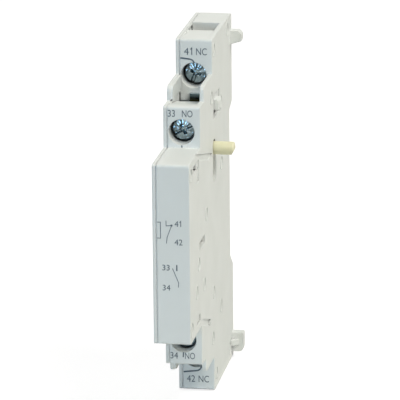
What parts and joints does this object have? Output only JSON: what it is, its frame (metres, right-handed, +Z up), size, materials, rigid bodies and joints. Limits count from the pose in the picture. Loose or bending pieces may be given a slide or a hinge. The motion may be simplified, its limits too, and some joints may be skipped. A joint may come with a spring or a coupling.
{
  "type": "auxiliary contact block",
  "caption": "Slim side mounting auxiliary contact block with screw terminals, a sprung actuator pin and working contacts.",
  "frame": {"origin": "on the flat mating side, at mid depth and mid height of the block", "axes": "+X out of the mating side towards the switch it is fixed to, -Y out of the front with the terminal screws, +Z up, towards terminal 41"},
  "size_m": [0.0141, 0.066, 0.09],
  "materials": {
    "light_grey_plastic": "moulded, fine satin texture, light grey",
    "white_plastic": "moulded, off white",
    "yellow_plastic": "moulded, pale yellow, smooth",
    "plated_steel": "zinc plated",
    "brass": "rolled strip",
    "silver_alloy": "silver contact alloy, satin",
    "spring_steel": "drawn wire"
  },
  "bodies": {
    "housing": {"housing_body": "light_grey_plastic", "side_cover": "light_grey_plastic", "strip_41": "brass", "strip_33": "brass", "strip_34": "brass", "strip_42": "brass", "fixed_tip_41": "silver_alloy", "fixed_tip_33": "silver_alloy", "fixed_tip_34": "silver_alloy", "fixed_tip_42": "silver_alloy", "return_spring": "spring_steel"},
    "slider": {"actuator_slider": "white_plastic", "actuator_pin": "yellow_plastic", "nc_contact_spring": "spring_steel", "no_contact_spring": "spring_steel"},
    "nc_contact": {"nc_bridge": "brass", "nc_tip_front": "silver_alloy", "nc_tip_rear": "silver_alloy"},
    "no_contact": {"no_bridge": "brass", "no_tip_front": "silver_alloy", "no_tip_rear": "silver_alloy"},
    "screw_41_body": {"screw_41": "plated_steel"},
    "clamp_41_body": {"clamp_41": "plated_steel"},
    "screw_33_body": {"screw_33": "plated_steel"},
    "clamp_33_body": {"clamp_33": "plated_steel"},
    "screw_34_body": {"screw_34": "plated_steel"},
    "clamp_34_body": {"clamp_34": "plated_steel"},
    "screw_42_body": {"screw_42": "plated_steel"},
    "clamp_42_body": {"clamp_42": "plated_steel"}
  },
  "joints": [
    {"name": "pin_travel", "type": "slide", "parent": "housing", "child": "slider", "axis": [0, 0, -1], "range_m": [0, 0.0065], "stiffness_N_per_m": 150, "springref_m": -0.006, "deforming": ["return_spring"]},
    {"name": "nc_bridge_travel", "type": "slide", "parent": "slider", "child": "nc_contact", "axis": [0, 0, 1], "range_m": [0, 0.0015], "deforming": ["nc_contact_spring"]},
    {"name": "no_bridge_travel", "type": "slide", "parent": "slider", "child": "no_contact", "axis": [0, 0, 1], "range_m": [0, 0.0037], "deforming": ["no_contact_spring"]},
    {"name": "screw_41_turn", "type": "hinge", "parent": "housing", "child": "screw_41_body", "pos_m": [-0.0046, 0.0052, 0.0359], "axis": [0, 1, 0], "range_deg": [0, 1800]},
    {"name": "clamp_41_lift", "type": "slide", "parent": "housing", "child": "clamp_41_body", "axis": [0, -1, 0], "range_m": [0, 0.003]},
    {"name": "screw_33_turn", "type": "hinge", "parent": "housing", "child": "screw_33_body", "pos_m": [-0.0046, -0.0135, 0.0262], "axis": [0, 1, 0], "range_deg": [0, 1800]},
    {"name": "clamp_33_lift", "type": "slide", "parent": "housing", "child": "clamp_33_body", "axis": [0, -1, 0], "range_m": [0, 0.003]},
    {"name": "screw_34_turn", "type": "hinge", "parent": "housing", "child": "screw_34_body", "pos_m": [-0.0046, -0.0135, -0.0262], "axis": [0, 1, 0], "range_deg": [0, 1800]},
    {"name": "clamp_34_lift", "type": "slide", "parent": "housing", "child": "clamp_34_body", "axis": [0, -1, 0], "range_m": [0, 0.003]},
    {"name": "screw_42_turn", "type": "hinge", "parent": "housing", "child": "screw_42_body", "pos_m": [-0.0046, 0.0052, -0.0359], "axis": [0, 1, 0], "range_deg": [0, 1800]},
    {"name": "clamp_42_lift", "type": "slide", "parent": "housing", "child": "clamp_42_body", "axis": [0, -1, 0], "range_m": [0, 0.003]}
  ],
  "couplings": [
    {"joint": "nc_bridge_travel", "follows": "pin_travel", "ratio": 0.23076},
    {"joint": "no_bridge_travel", "follows": "pin_travel", "ratio": 0.56923},
    {"joint": "screw_41_turn", "follows": "clamp_41_lift", "rad_per_m": 10472},
    {"joint": "screw_33_turn", "follows": "clamp_33_lift", "rad_per_m": 10472},
    {"joint": "screw_34_turn", "follows": "clamp_34_lift", "rad_per_m": 10472},
    {"joint": "screw_42_turn", "follows": "clamp_42_lift", "rad_per_m": 10472}
  ]
}
